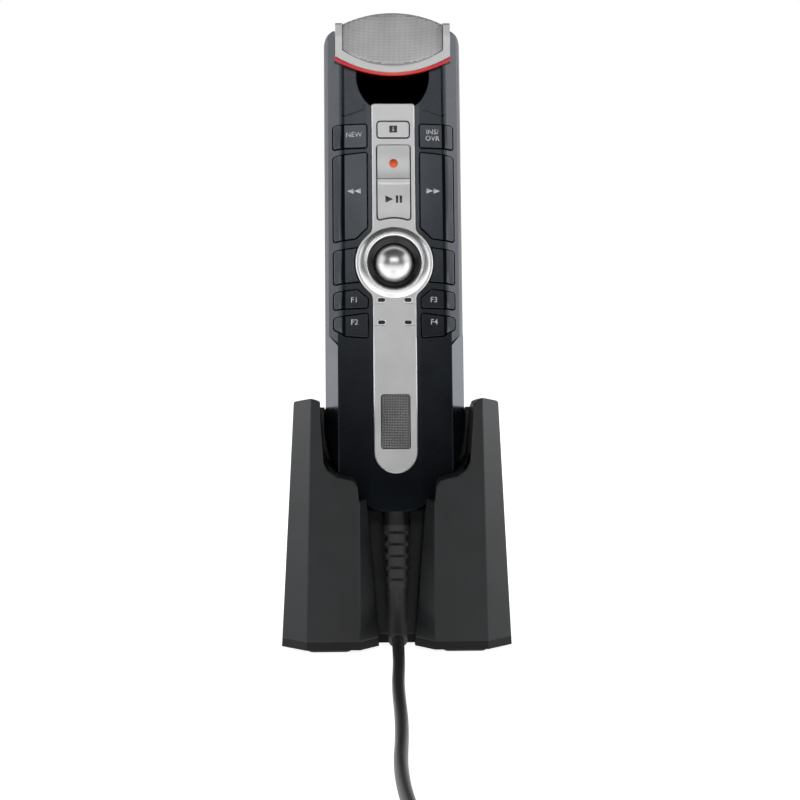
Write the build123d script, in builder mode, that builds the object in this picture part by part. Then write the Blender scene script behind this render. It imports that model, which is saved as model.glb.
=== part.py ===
from build123d import *
import os
from math import atan, cos, pi, radians, sin, sqrt, tan

# Hand-held dictation microphone standing in its desk cradle, with its USB cord.
# Millimetres. +Z is up, the front faces -Y and the origin is on the table, under the middle
# of the cradle. The microphone has a frame of its own, `mic`: x across it, y along it from
# its lower end, z out of its front face, with z = 0 where its two shells part.

os.makedirs("parts", exist_ok=True)

# ---------------------------------------------------------------- driving dimensions
# microphone body
LEAN = 15.0  # how far it leans back in the cradle, degrees
MIC_FOOT = (0, -18.6, 43.0)  # its lower end, on the parting plane
HALF_W = 23.5
LENGTH = 167.0
FRONT = 8.5  # height of the front face over the parting plane
BACK = 13.1  # depth of the back under the parting plane
WALL = 2.0
SIDE_R, END_R = 39.2, 18.5  # arcs of the lower end
SIDE_TOP = 32.0  # where the straight sides begin
SHOULDER_R = 4.5
FACET_X, FACET_TOP = 19.3, 56.7  # side facets of the grip
# strip down the middle of the front
STRIP_HALF, STRIP_TOP, STRIP_END = 7.3, 140.0, 13.2
STRIP_SEAT, STRIP_FACE = 7.4, 9.2
STRIP_GAP = 0.25
# trackball
BALL_V, BALL_W, BALL_R = 84.7, 3.0, 8.0
BULGE_R, BEZEL_R, SOCKET_R = 13.1, 12.2, 9.2
SEAT_R = BALL_R + 0.4
RING_CREST_R = 9.9
RING_EDGE, RING_MIDDLE, RING_CREST, RING_INNER = 0.05, 0.62, 0.9, 0.3  # heights over the strip
CAGE_R, CAGE_LOW, CAGE_TOP = 10.4, -6.9, 2.0
BEARING_R = 1.0
# head
HORN_X, HORN_IN = 19.7, 17.3
HEAD_SIDE, HEAD_IN_SIDE = 156.1, 157.9  # where the straight sides end, outside and inside
HEAD_LOW, HEAD_IN_LOW = 150.5, 152.6  # lowest points, outside and inside
HEAD_PLATE, HEAD_SEAT = 2.4, 4.4
GUIDE_T, GUIDE_TOP = 0.8, 10.2  # light guide under the head
DOME_R, DOME_TOP, DOME_V = 60.0, 13.4, 161.0
# keys
GAP = 0.45  # all round a key
KEY_IN, KEY_OUT = 9.1, 20.4
KEY_FLOOR, KEY_PROUD = 2.7, 0.5
INFO_HALF, INFO_LOW, INFO_TOP = 5.3, 128.0, 133.5
ROCKER_HALF, ROCKER_LOW, ROCKER_TOP, RIDGE_V = 5.5, 99.2, 125.1, 112.6
ROCKER_FLOOR, ROCKER_FACE = 5.2, 10.0
TRIGGER_LOW, TRIGGER_TOP, TRIGGER_HALF = 97.0, 123.0, 9.0
# inside
BOARD_LOW, BOARD_T = -1.0, 1.6
BOARD_TOP = BOARD_LOW + BOARD_T
MEMBRANE_TOP = BOARD_TOP + 1.2
SCREW_R, BOSS_R = 1.2, 3.2
SCREW_PLACES = [(15.5, 30.0), (17.0, 141.5)]
SCREW_TOP, SCREW_SEAT, SCREW_LOW, SCREW_HEAD_R = 4.8, -4.6, -6.2, 2.1
# cable exit
RELIEF_W = 3.4  # height of the strain relief's axis over the parting plane
COLLAR_R, COLLAR_LOW = 4.7, -3.9
NECK_HOLE_R, GROOVE_R, GROOVE = 2.5, 3.2, (2.4, 4.7)  # hole and groove in the shells for the strain relief
RELIEF_R, SLEEVE_R, SLEEVE_END_R = 4.9, 3.6, 3.1
RELIEF_LOW = -25.0  # where the straight, slotted part ends
RELIEF_END = (-42.2, 11.3)  # mouth of the sleeve, along and out
SLOT_PITCH, SLOTS = 3.9, 5
FRONT_SLOT_T, SIDE_SLOT_T = 0.9, 1.6
FRONT_SLOT_IN, SIDE_SLOT_IN, SLOT_DEEP = 2.9, 3.0, 5.0  # inner faces from the axis, and depth of the cut
# cradle
BASE_FRONT, BASE_REAR, BASE_HALF = -37.5, 37.5, 38.5
FACE_LEAN, REAR_LEAN, SIDE_LEAN = 6.0, 13.0, 3.1
CREASE_X, CREASE_IN = 30.1, 1.3  # front crease at the floor, and how far it leans inward in degrees
CHAMFER_Y, REAR_CORNER = 6.2, 9.0
EAR_TOP = 84.0
FOOT_T, PLATE_TOP = 1.1, 3.8
CRADLE_WALL = 2.6
POCKET_GAP = 0.35
CHANNEL_OUT, CHANNEL_BEVEL = 12.4, 5.6
CHANNEL_IN_LOW, CHANNEL_IN_TOP, CHANNEL_H = 5.9, 10.5, 56.0
CHANNEL_WALL_Y, CHANNEL_WALL_LEAN = -28.2, 16.0
# cord, its coil and its plug
CORD_R = 2.0
CORD_IN = 3.0  # length held inside the sleeve
COIL_MID_R, COIL_WIDE, COIL_HIGH = 24.0, 4, 4
COIL_CENTRE = (-22.0, -257.0)
PLUG_AT, PLUG_TURN = (21.5, -256.5), 274.0
PLUG_L, PLUG_HALF_W, PLUG_HALF_T = 26.0, 7.8, 4.0
SHELL_L, SHELL_HALF_W, SHELL_HALF_T, SHELL_WALL = 18.8, 6.0, 2.25, 0.35
TONGUE_T = 1.8

mic = Plane(
    origin=MIC_FOOT,
    x_dir=(1, 0, 0),
    z_dir=(0, -cos(radians(LEAN)), sin(radians(LEAN))),
)
UP, OUT = mic.y_dir, mic.z_dir


def face(height=0.0):
    """Plane parallel to the microphone's front: local x across, y along."""
    return mic.offset(height)


def section(along=0.0):
    """Plane square to the microphone's length: local x across, y out of the front."""
    return Plane(origin=mic.from_local_coords((0, along, 0)), x_dir=(-1, 0, 0), z_dir=UP)


def side(across=0.0):
    """Plane along the microphone's length: local x along, y out of the front."""
    return Plane(origin=mic.from_local_coords((across, 0, 0)), x_dir=UP, z_dir=(1, 0, 0))


def mirrored(points):
    """Right-hand points, then the same points on the left in the opposite order."""
    return points + [(-x, y) for x, y in reversed(points)]


def lowered(angle, height):
    """How far a wall that leans by `angle` degrees moves inward over `height`."""
    return height * tan(radians(angle))


def save(builder, name):
    """Labels a finished piece and writes its STEP file."""
    shape = builder.part
    shape.label = name
    export_step(shape, f"parts/{name}.step")


# ---------------------------------------------------------------- outlines of the microphone
def body_outline(grow=0.0):
    """Front outline: straight sides, round shoulders and a lower end of three arcs."""
    turn = atan((SIDE_TOP - END_R) / (SIDE_R - HALF_W))
    joint = (HALF_W - SIDE_R + SIDE_R * cos(turn), SIDE_TOP - SIDE_R * sin(turn))
    middle = (HALF_W - SIDE_R + SIDE_R * cos(turn / 2), SIDE_TOP - SIDE_R * sin(turn / 2))
    with BuildSketch() as outline:
        with BuildLine():
            Line((SHOULDER_R - HALF_W, LENGTH), (HALF_W - SHOULDER_R, LENGTH))
            for s in (1, -1):
                shoulder = (s * (HALF_W - SHOULDER_R), LENGTH)
                edge = (s * HALF_W, LENGTH - SHOULDER_R)
                RadiusArc(shoulder, edge, s * SHOULDER_R)
                Line(edge, (s * HALF_W, SIDE_TOP))
                ThreePointArc((s * HALF_W, SIDE_TOP), (s * middle[0], middle[1]), (s * joint[0], joint[1]))
            ThreePointArc(joint, (0, 0), (-joint[0], joint[1]))
        make_face()
        if grow:
            offset(amount=grow)
    return outline.sketch


def upper_section(inset=0.0):
    """Cross-section of the front shell: flat middle, sloping keys, round shoulders."""
    points = [
        (HALF_W - inset, 0),
        (HALF_W - inset - 0.8, 2.75 - inset),
        (17.6 - inset / 2, 7.25 - inset),
        (8.7, FRONT - inset),
    ]
    with BuildSketch() as profile:
        with BuildLine():
            FilletPolyline(*mirrored(points), radius=[2.5, 3.5, 6.0, 6.0, 3.5, 2.5])
            Line((HALF_W - inset, 0), (inset - HALF_W, 0))
        make_face()
    return profile.sketch


def grip_section():
    """Cross-section of the front shell along the grip: a flat facet down each side."""
    points = [(HALF_W, 0), (HALF_W, 1.8), (FACET_X, 7.0), (8.7, FRONT)]
    with BuildSketch() as profile:
        with BuildLine():
            Polyline(*mirrored(points), close=True)
        make_face()
    return profile.sketch


def rear_section(inset=0.0):
    """Cross-section of the rear shell at its deepest."""
    points = [
        (HALF_W - inset, 0),
        (HALF_W - inset, -2.5),
        (18.0 - inset / 2, inset - 9.5),
        (8.0, inset - BACK),
    ]
    with BuildSketch() as profile:
        with BuildLine():
            FilletPolyline(*mirrored(points), radius=[5.0, 8.0, 12.0, 12.0, 8.0, 5.0])
            Line((HALF_W - inset, 0), (inset - HALF_W, 0))
        make_face()
    return profile.sketch


def side_profile(inset=0.0):
    """Side view: blunt lower end, thin grip, deeper back behind the trackball."""
    low, high = inset, LENGTH - inset
    points = [
        (low, 7.0 - inset),
        (low + 1.5, FRONT + 0.2 - inset),
        (high - 5, FRONT + 0.2 - inset),
        (high, 4.5),
        (high, inset / 2 - 6.0),
        (152, inset - 11.0),
        (132, inset - BACK),
        (98, inset - BACK),
        (62, inset - 9.3),
        (12, inset - 9.0),
        (low, -1.5),
    ]
    with BuildSketch() as profile:
        with BuildLine():
            FilletPolyline(*points, radius=[0.6, 0.6, 4, 1, 4, 20, 25, 25, 40, 8, 1], close=True)
        make_face()
    return profile.sketch


def strip_outline(grow=0.0):
    """Outline of the strip: a long bar with a round end, swelling round the trackball."""
    straight = STRIP_END + STRIP_HALF
    rise = sqrt(BULGE_R**2 - STRIP_HALF**2)
    with BuildSketch() as outline:
        with Locations((0, (STRIP_TOP + straight) / 2)):
            Rectangle(2 * STRIP_HALF, STRIP_TOP - straight)
        with Locations((0, straight)):
            Circle(STRIP_HALF)
        with Locations((0, BALL_V)):
            Circle(BULGE_R)
        necks = [p for p in outline.vertices() if abs(abs(p.Y - BALL_V) - rise) < 0.1]
        fillet(necks, 3.0)
        fillet(outline.vertices().sort_by(Axis.Y)[-2:], 1.0)
        if grow:
            offset(amount=grow)
    return outline.sketch


def head_outline(half, side_end, low, top, grow=0.0):
    """Outline inside the head's U: straight sides over an arc, closed by a top arc or line."""
    with BuildSketch() as outline:
        with BuildLine():
            Line((half, LENGTH + 0.3), (half, side_end))
            ThreePointArc((half, side_end), (0, low), (-half, side_end))
            Line((-half, side_end), (-half, LENGTH + 0.3))
            ThreePointArc((-half, LENGTH + 0.3), (0, top), (half, LENGTH + 0.3))
        make_face()
        if grow:
            offset(amount=grow)
    return outline.sketch


def guide_outline(grow=0.0):
    """Outline of the curved light guide under the head."""
    half, end = HORN_X + 0.2, HEAD_SIDE - 0.1
    with BuildSketch() as outline:
        with BuildLine():
            ThreePointArc((-half, end), (0, HEAD_LOW), (half, end))
            Line((half, end), (half, end - GUIDE_T))
            ThreePointArc((half, end - GUIDE_T), (0, HEAD_LOW - GUIDE_T), (-half, end - GUIDE_T))
            Line((-half, end - GUIDE_T), (-half, end))
        make_face()
        if grow:
            offset(amount=grow)
    return outline.sketch


# Right-hand outlines of the side keys: points across and along, and the corners' radius.
KEY_POINTS = {
    "edit": [(KEY_IN, 124.7), (KEY_OUT, 124.7), (KEY_OUT, 132.7), (KEY_IN, 132.7)],
    "wind": [(KEY_IN, 97.0), (13.1, 93.2), (KEY_OUT, 92.5), (KEY_OUT, 121.9), (KEY_IN, 122.9)],
    "mouse": [(KEY_IN, 78.6), (KEY_OUT, 77.8), (KEY_OUT, 89.0), (KEY_IN, 90.2)],
    "upper_f": [(KEY_IN, 69.4), (KEY_OUT, 69.2), (KEY_OUT, 74.7), (12.7, 75.5), (KEY_IN, 72.5)],
    "lower_f": [(KEY_IN, 59.2), (16.5, 59.9), (KEY_OUT, 62.5), (KEY_OUT, 66.1), (KEY_IN, 67.3)],
}
SIDE_KEYS = {
    "new_key": ("edit", -1),
    "insert_key": ("edit", 1),
    "rewind_key": ("wind", -1),
    "forward_key": ("wind", 1),
    "left_mouse_key": ("mouse", -1),
    "right_mouse_key": ("mouse", 1),
    "f1_key": ("upper_f", -1),
    "f2_key": ("lower_f", -1),
    "f3_key": ("upper_f", 1),
    "f4_key": ("lower_f", 1),
}
KEY_CORNER_R = 0.7


def key_outline(kind, hand, grow=0.0):
    """Outline of one side key; the mouse keys are hollowed to follow the trackball's ring."""
    with BuildSketch() as outline:
        with BuildLine():
            Polyline(*[(hand * x, y) for x, y in KEY_POINTS[kind]], close=True)
        make_face()
        fillet(outline.vertices(), KEY_CORNER_R)
        if kind == "mouse":
            with Locations((0, BALL_V)):
                Circle(BULGE_R + 0.45, mode=Mode.SUBTRACT)
        if grow:
            offset(amount=grow)
    return outline.sketch


def info_outline(grow=0.0):
    """Outline of the info key in the strip."""
    with BuildSketch() as outline:
        with Locations((0, (INFO_LOW + INFO_TOP) / 2)):
            RectangleRounded(2 * (INFO_HALF + grow), INFO_TOP - INFO_LOW + 2 * grow, 0.9 + grow)
    return outline.sketch


def rocker_outline(grow=0.0):
    """Outline of the record and play rocker; its lower edge curves round the trackball's ring."""
    with BuildSketch() as outline:
        with BuildLine():
            Polyline(
                (-ROCKER_HALF, ROCKER_LOW),
                (-ROCKER_HALF, ROCKER_TOP),
                (ROCKER_HALF, ROCKER_TOP),
                (ROCKER_HALF, ROCKER_LOW),
            )
            ThreePointArc((ROCKER_HALF, ROCKER_LOW), (0, ROCKER_LOW + 1.1), (-ROCKER_HALF, ROCKER_LOW))
        make_face()
        fillet(outline.vertices(), 0.8)
        if grow:
            offset(amount=grow)
    return outline.sketch


def at(x, y):
    """One place in a sketch."""
    return Locations((x, y))


# ---------------------------------------------------------------- microphone shells
def front_block(inset=0.0, facets=False):
    """Solid inside the front shell's outer surface, or inside one `inset` within it."""
    with BuildPart() as block:
        if facets:
            with BuildSketch(section()):
                add(grip_section())
            extrude(amount=FACET_TOP + 6)
            for s in (1, -1):
                corner = [(FACET_X, FACET_TOP), (22.0, 60.2), (26.0, 62.0), (26.0, 70.0), (FACET_X, 70.0)]
                with BuildSketch(face()):
                    with BuildLine():
                        Polyline(*[(s * x, y) for x, y in corner], close=True)
                    make_face()
                extrude(amount=2 * FRONT, mode=Mode.SUBTRACT)
        with BuildSketch(section()):
            add(upper_section(inset))
        extrude(amount=LENGTH)
        with BuildSketch(face()):
            add(body_outline(-inset))
        extrude(amount=2 * FRONT, mode=Mode.INTERSECT)
        with BuildSketch(side()):
            add(side_profile(inset))
        extrude(amount=HALF_W + WALL, both=True, mode=Mode.INTERSECT)
    return block.part


def rear_block(inset=0.0):
    """Solid inside the rear shell's outer surface, or inside one `inset` within it."""
    with BuildPart() as block:
        with BuildSketch(section()):
            add(rear_section(inset))
        extrude(amount=LENGTH)
        with BuildSketch(face()):
            add(body_outline(-inset))
        extrude(amount=-2 * BACK, mode=Mode.INTERSECT)
        with BuildSketch(side()):
            add(side_profile(inset))
        extrude(amount=HALF_W + WALL, both=True, mode=Mode.INTERSECT)
    return block.part


SCOOP_R, SCOOP_DEEP, SCOOP_V = 18.9, 5.0, 150.0
SCOOP_W = FRONT - SCOOP_DEEP + SCOOP_R
SCREWS = [(s * x, y) for x, y in SCREW_PLACES for s in (1, -1)]
SPEAKER_V, SPEAKER_HALF, SPEAKER_TALL = 30.55, 5.0, 18.5
LAMP_X, LAMP_ROWS = 4.5, (71.9, 64.25)

HEAD_TOP = DOME_V + 9.7  # crown of the grille, seen from the front
CLEAR = 20.0  # height that every front face is below
DOME_W = DOME_TOP - DOME_R


def bar(low, high, half, bottom, top):
    """Block in the microphone's frame, from `low` to `high` along it and `half` to each side."""
    with BuildPart() as block:
        with BuildSketch(face(bottom)):
            with at(0, (low + high) / 2):
                Rectangle(2 * half, high - low)
        extrude(amount=top - bottom)
    return block.part


def posts(places, radius, bottom, top):
    """Round posts square to the microphone's front."""
    with BuildPart() as group:
        with BuildSketch(face(bottom)):
            with Locations(*places):
                Circle(radius)
        extrude(amount=top - bottom)
    return group.part


def prism(outline, bottom, top):
    """An outline raised square to the microphone's front."""
    with BuildPart() as block:
        with BuildSketch(face(bottom)):
            add(outline)
        extrude(amount=top - bottom)
    return block.part


def rod(radius, low, high, height=RELIEF_W):
    """Round rod along the microphone's length."""
    with BuildPart() as piece:
        with BuildSketch(section(low)):
            with at(0, height):
                Circle(radius)
        extrude(amount=high - low)
    return piece.part


def ball(radius, across, along, height):
    """Ball in the microphone's frame."""
    with BuildPart() as piece:
        with Locations(Location(mic.from_local_coords((across, along, height)))):
            Sphere(radius)
    return piece.part


with BuildPart() as scoop:
    add(ball(SCOOP_R, 0, SCOOP_V, SCOOP_W))
    add(bar(STRIP_TOP + 0.4, SCOOP_V + 20, 30, 0, CLEAR), mode=Mode.INTERSECT)

with BuildPart() as front_hollow:
    add(front_block(WALL))
    add(bar(STRIP_TOP - 4, HEAD_LOW + 1.5, 15.0, 1.5, CLEAR), mode=Mode.SUBTRACT)
    add(bar(-5, 7.5, 9.0, 0, CLEAR), mode=Mode.SUBTRACT)
    add(posts(SCREWS, BOSS_R, BOARD_TOP, CLEAR), mode=Mode.SUBTRACT)

with BuildPart() as front_shell:
    add(front_block(facets=True))
    add(front_hollow.part, mode=Mode.SUBTRACT)
    add(prism(strip_outline(STRIP_GAP), STRIP_SEAT, CLEAR), mode=Mode.SUBTRACT)
    for key_kind, key_hand in SIDE_KEYS.values():
        add(prism(key_outline(key_kind, key_hand, GAP), 0, CLEAR), mode=Mode.SUBTRACT)
    add(prism(info_outline(GAP), 2, CLEAR), mode=Mode.SUBTRACT)
    add(prism(rocker_outline(GAP), 2, CLEAR), mode=Mode.SUBTRACT)
    add(posts([(0, BALL_V)], SOCKET_R, 0, CLEAR), mode=Mode.SUBTRACT)
    add(posts([(s * LAMP_X, v) for v in LAMP_ROWS for s in (1, -1)], 0.9, 5, CLEAR), mode=Mode.SUBTRACT)
    add(prism(head_outline(HORN_X, HEAD_SIDE, HEAD_LOW, LENGTH + 9), HEAD_PLATE, 30), mode=Mode.SUBTRACT)
    add(prism(guide_outline(0.05), HEAD_PLATE, 30), mode=Mode.SUBTRACT)
    add(scoop.part, mode=Mode.SUBTRACT)
    with BuildSketch(face(2)):
        with at(0, SPEAKER_V):
            Rectangle(2 * SPEAKER_HALF - 1.2, SPEAKER_TALL - 1.2)
    extrude(amount=10, mode=Mode.SUBTRACT)
    add(posts(SCREWS, SCREW_R + 0.05, -1, SCREW_TOP + 0.4), mode=Mode.SUBTRACT)
    add(rod(NECK_HOLE_R, -3, 9), mode=Mode.SUBTRACT)
    add(rod(GROOVE_R, *GROOVE), mode=Mode.SUBTRACT)
save(front_shell, "front_shell")

with BuildPart() as rear_bosses:
    add(posts(SCREWS, BOSS_R, -BACK, BOARD_LOW))
    add(rear_block(), mode=Mode.INTERSECT)

with BuildPart() as trigger_hole:
    with BuildSketch(face(-20)):
        with at(0, (TRIGGER_LOW + TRIGGER_TOP) / 2):
            RectangleRounded(2 * (TRIGGER_HALF + 0.4), TRIGGER_TOP - TRIGGER_LOW + 1.0, 3.5)
    extrude(amount=12)

with BuildPart() as rear_shell:
    add(rear_block())
    add(rear_block(WALL), mode=Mode.SUBTRACT)
    add(rear_bosses.part)
    add(trigger_hole.part, mode=Mode.SUBTRACT)
    add(posts(SCREWS, SCREW_R + 0.15, -CLEAR, 0), mode=Mode.SUBTRACT)
    add(posts(SCREWS, SCREW_HEAD_R + 0.3, -CLEAR, SCREW_SEAT), mode=Mode.SUBTRACT)
    add(rod(GROOVE_R, *GROOVE), mode=Mode.SUBTRACT)
save(rear_shell, "rear_shell")

with BuildPart() as shell_screws:
    add(posts(SCREWS, SCREW_R, SCREW_SEAT, SCREW_TOP))
    add(posts(SCREWS, SCREW_HEAD_R, SCREW_LOW, SCREW_SEAT))
    with BuildSketch(face(SCREW_LOW)):
        with Locations(*SCREWS):
            Rectangle(2.6, 0.6)
            Rectangle(0.6, 2.6)
    extrude(amount=0.8, mode=Mode.SUBTRACT)
save(shell_screws, "shell_screws")

# ---------------------------------------------------------------- strip and its keys
with BuildPart() as centre_strip:
    add(prism(strip_outline(), STRIP_SEAT, STRIP_FACE))
    top_edges = centre_strip.faces().sort_by(Axis(MIC_FOOT, OUT))[-1].edges()
    chamfer(top_edges, 0.3)
    add(prism(info_outline(GAP), 2, CLEAR), mode=Mode.SUBTRACT)
    add(prism(rocker_outline(GAP), 2, CLEAR), mode=Mode.SUBTRACT)
    add(posts([(0, BALL_V)], BEZEL_R + 0.05, 2, CLEAR), mode=Mode.SUBTRACT)
    with BuildSketch(face(2)):
        with at(0, SPEAKER_V):
            RectangleRounded(2 * SPEAKER_HALF, SPEAKER_TALL, 1.0)
        for v in LAMP_ROWS:
            with Locations((LAMP_X, v), (-LAMP_X, v)):
                RectangleRounded(2.4, 1.25, 0.6)
    extrude(amount=20, mode=Mode.SUBTRACT)
save(centre_strip, "centre_strip")

with BuildPart() as trackball_ring:
    with BuildSketch(side()):
        with BuildLine():
            Polyline(
                (BALL_V + SOCKET_R, STRIP_SEAT),
                (BALL_V + BEZEL_R, STRIP_SEAT),
                (BALL_V + BEZEL_R, STRIP_FACE + RING_EDGE),
            )
            ThreePointArc(
                (BALL_V + BEZEL_R, STRIP_FACE + RING_EDGE),
                (BALL_V + (BEZEL_R + RING_CREST_R) / 2, STRIP_FACE + RING_MIDDLE),
                (BALL_V + RING_CREST_R, STRIP_FACE + RING_CREST),
            )
            ThreePointArc(
                (BALL_V + RING_CREST_R, STRIP_FACE + RING_CREST),
                (BALL_V + SOCKET_R + 0.2, STRIP_FACE + RING_MIDDLE + 0.1),
                (BALL_V + SOCKET_R, STRIP_FACE + RING_INNER),
            )
            Line((BALL_V + SOCKET_R, STRIP_FACE + RING_INNER), (BALL_V + SOCKET_R, STRIP_SEAT))
        make_face()
    revolve(axis=Axis(mic.from_local_coords((0, BALL_V, 0)), OUT))
save(trackball_ring, "trackball_ring")

with BuildPart() as trackball_socket:
    with BuildSketch(side()):
        with BuildLine():
            Polyline(
                (BALL_V + 6.0, CAGE_TOP),
                (BALL_V + SOCKET_R - 0.05, CAGE_TOP),
                (BALL_V + SOCKET_R - 0.05, STRIP_FACE - 0.9),
                (BALL_V + SOCKET_R - 0.7, STRIP_FACE - 0.9),
                (BALL_V + 6.0, STRIP_SEAT - 0.3),
                close=True,
            )
        make_face()
    revolve(axis=Axis(mic.from_local_coords((0, BALL_V, 0)), OUT))
    add(ball(SEAT_R, 0, BALL_V, BALL_W), mode=Mode.SUBTRACT)
save(trackball_socket, "trackball_socket")

with BuildPart() as trackball:
    add(ball(BALL_R, 0, BALL_V, BALL_W))
save(trackball, "trackball")

BEARING_TURNS = (80, 200, 320)
BEARING_OUT = BALL_R + BEARING_R + 0.15
BEARINGS = [
    (
        BEARING_OUT * cos(radians(35)) * cos(radians(turn)),
        BALL_V + BEARING_OUT * cos(radians(35)) * sin(radians(turn)),
        BALL_W - BEARING_OUT * sin(radians(35)),
    )
    for turn in BEARING_TURNS
]

with BuildPart() as trackball_cage:
    add(posts([(0, BALL_V)], CAGE_R, CAGE_LOW, CAGE_TOP))
    add(ball(SEAT_R, 0, BALL_V, BALL_W), mode=Mode.SUBTRACT)
    add(posts([(0, BALL_V)], 1.6, -10, 0), mode=Mode.SUBTRACT)
    for x, y, z in BEARINGS:
        add(posts([(x, y)], BEARING_R + 0.05, z - BEARING_R - 0.05, z + 6), mode=Mode.SUBTRACT)
save(trackball_cage, "trackball_cage")

with BuildPart() as bearing_balls:
    for place in BEARINGS:
        add(ball(BEARING_R, *place))
save(bearing_balls, "bearing_balls")

with BuildPart() as optical_sensor:
    add(bar(BALL_V - 4, BALL_V + 4, 4.0, CAGE_LOW - 1.8, CAGE_LOW))
save(optical_sensor, "optical_sensor")

for key_name, (key_kind, key_hand) in SIDE_KEYS.items():
    with BuildPart() as side_key:
        with BuildSketch(face(KEY_FLOOR)):
            add(key_outline(key_kind, key_hand))
        extrude(amount=20)
        with BuildSketch(section(50)):
            add(upper_section(-KEY_PROUD))
        extrude(amount=100, mode=Mode.INTERSECT)
    save(side_key, key_name)

with BuildPart() as info_key:
    add(prism(info_outline(), ROCKER_FLOOR, STRIP_FACE + 0.6))
    fillet(info_key.faces().sort_by(Axis(MIC_FOOT, OUT))[-1].edges(), 0.3)
    add(posts([(0, (INFO_LOW + INFO_TOP) / 2)], 1.5, KEY_FLOOR, ROCKER_FLOOR))
save(info_key, "info_key")

with BuildPart() as record_play_rocker:
    with BuildSketch(side()):
        with BuildLine():
            Polyline(
                (RIDGE_V - 0.6, ROCKER_FACE + 0.5),
                (RIDGE_V + 0.6, ROCKER_FACE + 0.5),
                (RIDGE_V + 1.1, ROCKER_FACE),
            )
            ThreePointArc(
                (RIDGE_V + 1.1, ROCKER_FACE),
                ((RIDGE_V + ROCKER_TOP) / 2, ROCKER_FACE - 0.5),
                (ROCKER_TOP, ROCKER_FACE),
            )
            Polyline(
                (ROCKER_TOP, ROCKER_FACE),
                (ROCKER_TOP, ROCKER_FLOOR),
                (ROCKER_LOW, ROCKER_FLOOR),
                (ROCKER_LOW, ROCKER_FACE),
            )
            ThreePointArc(
                (ROCKER_LOW, ROCKER_FACE),
                ((RIDGE_V + ROCKER_LOW) / 2, ROCKER_FACE - 0.5),
                (RIDGE_V - 1.1, ROCKER_FACE),
            )
            Line((RIDGE_V - 1.1, ROCKER_FACE), (RIDGE_V - 0.6, ROCKER_FACE + 0.5))
        make_face()
    extrude(amount=ROCKER_HALF, both=True)
    add(prism(rocker_outline(), 2, CLEAR), mode=Mode.INTERSECT)
    add(posts([(0, 103.5), (0, 121.7)], 1.5, 3.0, ROCKER_FLOOR))
save(record_play_rocker, "record_play_rocker")

with BuildPart() as indicator_windows:
    with BuildSketch(face(STRIP_SEAT)):
        for v in LAMP_ROWS:
            with Locations((LAMP_X, v), (-LAMP_X, v)):
                RectangleRounded(2.1, 0.95, 0.45)
    extrude(amount=STRIP_FACE - STRIP_SEAT - 0.05)
save(indicator_windows, "indicator_windows")

with BuildPart() as speaker_grille:
    with BuildSketch(face(STRIP_SEAT)):
        with at(0, SPEAKER_V):
            RectangleRounded(2 * SPEAKER_HALF - 0.1, SPEAKER_TALL - 0.1, 0.95)
    extrude(amount=1.2)
save(speaker_grille, "speaker_grille")

with BuildPart() as speaker_driver:
    add(posts([(0, SPEAKER_V)], 8.5, 2.0, FRONT - WALL - 0.1))
save(speaker_driver, "speaker_driver")

# ---------------------------------------------------------------- head
FRAME_SIDE = [(149, 3), (149, 10.4), (153, 11.2), (162, 12.4), (167.6, 11.9), (167.6, 3)]
with BuildPart() as head_frame:
    with BuildSketch(face(HEAD_SEAT)):
        add(head_outline(HORN_X - 0.1, HEAD_SIDE, HEAD_LOW, LENGTH + 9))
        add(head_outline(HORN_IN, HEAD_IN_SIDE, HEAD_IN_LOW, LENGTH + 10), mode=Mode.SUBTRACT)
    extrude(amount=20)
    with BuildSketch(side()):
        with BuildLine():
            FilletPolyline(*FRAME_SIDE, radius=[0.5, 2, 8, 0.9])
            Line(FRAME_SIDE[-1], FRAME_SIDE[0])
        make_face()
    extrude(amount=30, both=True, mode=Mode.INTERSECT)
save(head_frame, "head_frame")


def dome(shrink, bottom):
    """Domed block inside the head's U, each side drawn in by `shrink`."""
    with BuildPart() as block:
        add(prism(head_outline(HORN_IN - 0.05, HEAD_IN_SIDE, HEAD_IN_LOW, HEAD_TOP, -shrink), bottom, CLEAR))
        add(ball(DOME_R - shrink, 0, DOME_V, DOME_W), mode=Mode.INTERSECT)
    return block.part


MESH_T = 0.7
with BuildPart() as grille_mesh:
    add(dome(0.01, HEAD_SEAT))
    add(dome(MESH_T, HEAD_SEAT - 1), mode=Mode.SUBTRACT)
save(grille_mesh, "grille_mesh")

with BuildPart() as grille_foam:
    add(dome(MESH_T + 0.1, HEAD_SEAT))
    add(posts([(0, DOME_V)], 5.1, 2, HEAD_SEAT + 4.2), mode=Mode.SUBTRACT)
save(grille_foam, "grille_foam")

with BuildPart() as microphone_capsule:
    add(posts([(0, DOME_V)], 4.9, HEAD_SEAT, HEAD_SEAT + 4.0))
    add(posts([(0, DOME_V)], 3.6, HEAD_SEAT + 3.6, HEAD_SEAT + 4.0), mode=Mode.SUBTRACT)
save(microphone_capsule, "microphone_capsule")

with BuildPart() as head_plate:
    add(prism(head_outline(HORN_X - 0.1, HEAD_SIDE, HEAD_LOW + 0.05, LENGTH + 9), HEAD_PLATE, HEAD_SEAT))
    add(bar(HEAD_LOW - 5, LENGTH, 30, 0, CLEAR), mode=Mode.INTERSECT)
save(head_plate, "head_plate")

with BuildPart() as light_guide:
    add(prism(guide_outline(), HEAD_PLATE, GUIDE_TOP))
save(light_guide, "light_guide")

# ---------------------------------------------------------------- inside the microphone
BOARD_V = (24.0, 147.0)
with BuildPart() as main_board:
    add(prism(body_outline(-3.6), BOARD_LOW, BOARD_TOP))
    add(bar(*BOARD_V, HALF_W, BOARD_LOW, BOARD_TOP), mode=Mode.INTERSECT)
    add(posts([(0, BALL_V)], CAGE_R + 0.02, -5, 5), mode=Mode.SUBTRACT)
    add(posts(SCREWS, SCREW_R + 0.1, -5, 5), mode=Mode.SUBTRACT)
save(main_board, "main_board")

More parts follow.
